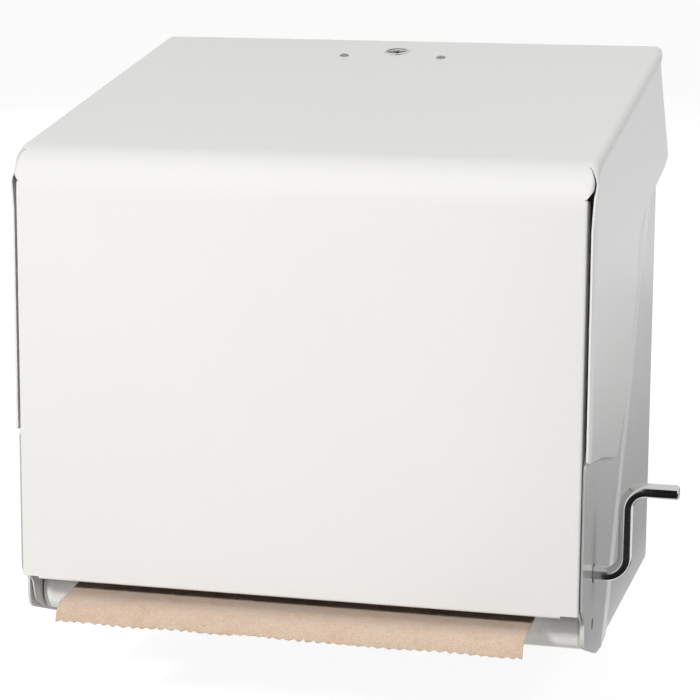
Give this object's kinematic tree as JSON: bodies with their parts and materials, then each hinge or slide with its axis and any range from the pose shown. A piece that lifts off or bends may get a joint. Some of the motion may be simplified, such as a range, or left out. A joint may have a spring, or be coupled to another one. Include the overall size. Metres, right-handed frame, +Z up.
{
  "type": "crank roll towel dispenser",
  "caption": "Wall-mounted white steel dispenser for a roll of paper towel, with a hinged locking cover and a side crank that feeds the paper out below.",
  "frame": {"origin": "on the wall plane, at the centre of the four wall screw holes", "axes": "+X to the side where the crank comes out, +Y into the wall, +Z up; the front faces -Y"},
  "size_m": [0.2778, 0.2388, 0.2498],
  "materials": {
    "white_paint": "baked enamel, semi-gloss",
    "zinc_steel": "zinc plated sheet, satin",
    "blade_steel": "bare stainless strip, satin",
    "plain_steel": "plated, satin",
    "spring_steel": "drawn wire, semi-gloss",
    "plated_rod": "bright nickel and chrome plate",
    "aluminium_tube": "extruded, satin",
    "black_rubber": "ground, matte",
    "white_plastic": "moulded, semi-gloss",
    "nylon": "moulded, matte",
    "lock_metal": "plated die casting, satin",
    "towel_paper": "unbleached kraft, matte",
    "core_board": "wound grey-brown board, matte"
  },
  "bodies": {
    "case": {"chassis": "white_paint", "front_rail": "zinc_steel", "tear_bar": "blade_steel", "tear_bar_screws": "plain_steel", "lower_axle": "plain_steel", "bearing_guide_left": "zinc_steel", "bearing_guide_right": "zinc_steel", "feed_spring_left": "spring_steel", "feed_spring_right": "spring_steel", "strike_bracket": "zinc_steel", "strike_rivets": "plain_steel", "arm_bracket_left": "zinc_steel", "arm_bracket_right": "zinc_steel", "arm_pin_left": "plain_steel", "arm_pin_right": "plain_steel", "arm_spring_left": "spring_steel", "arm_spring_right": "spring_steel", "towel_web": "towel_paper"},
    "feed_bearings": {"bearing_block_left": "nylon", "bearing_block_right": "nylon"},
    "feed_shaft": {"crank": "plated_rod", "feed_roller_core": "aluminium_tube", "feed_roller_sleeves": "black_rubber", "roller_pins": "plain_steel", "crank_clips": "spring_steel"},
    "nip_roller": {"lower_roller": "white_plastic", "roller_end_caps": "nylon"},
    "door": {"cover": "white_paint", "lock_case": "zinc_steel", "lock_rivets": "white_paint"},
    "lock": {"lock_barrel": "lock_metal", "lock_cam": "zinc_steel", "cam_screw": "plain_steel"},
    "arm_left": {"roll_arm_left": "zinc_steel", "hub_left": "nylon", "hub_rivet_left": "plain_steel"},
    "arm_right": {"roll_arm_right": "zinc_steel", "hub_right": "nylon", "hub_rivet_right": "plain_steel"},
    "towel": {"towel_core": "core_board", "towel_roll": "towel_paper"}
  },
  "joints": [
    {"name": "cover_hinge", "type": "hinge", "parent": "case", "child": "door", "pos_m": [0, -0.1945, -0.097], "axis": [1, 0, 0], "range_deg": [0, 80], "deforming": ["towel_web"]},
    {"name": "feed_lift", "type": "slide", "parent": "case", "child": "feed_bearings", "axis": [0, 0, 1], "range_m": [0, 0.0012], "stiffness_N_per_m": 3000, "springref_m": -0.002, "deforming": ["feed_spring_left", "feed_spring_right"]},
    {"name": "crank_turn", "type": "hinge", "parent": "feed_bearings", "child": "feed_shaft", "pos_m": [0, -0.1945, -0.075], "axis": [1, 0, 0], "continuous": true},
    {"name": "lower_roller_spin", "type": "hinge", "parent": "case", "child": "nip_roller", "pos_m": [0, -0.1945, -0.097], "axis": [1, 0, 0], "continuous": true},
    {"name": "towel_roll_spin", "type": "hinge", "parent": "case", "child": "towel", "pos_m": [0, -0.107, 0.02], "axis": [1, 0, 0], "continuous": true},
    {"name": "arm_left_swing", "type": "hinge", "parent": "case", "child": "arm_left", "pos_m": [-0.106, -0.018, 0.02], "axis": [0, 0, -1], "range_deg": [0, 6.5], "stiffness_Nm_per_rad": 0.3, "springref_deg": -34.38, "deforming": ["arm_spring_left"]},
    {"name": "arm_right_swing", "type": "hinge", "parent": "case", "child": "arm_right", "pos_m": [0.106, -0.018, 0.02], "axis": [0, 0, 1], "range_deg": [0, 6.5], "stiffness_Nm_per_rad": 0.3, "springref_deg": -34.38, "deforming": ["arm_spring_right"]},
    {"name": "lock_turn", "type": "hinge", "parent": "door", "child": "lock", "pos_m": [-0.0015, -0.04, 0.12612], "axis": [0, -0.1736, 0.9848], "range_deg": [0, 90]}
  ],
  "couplings": [
    {"joint": "crank_turn", "follows": "towel_roll_spin", "ratio": 7.1429},
    {"joint": "lower_roller_spin", "follows": "towel_roll_spin", "ratio": -7.1429}
  ]
}
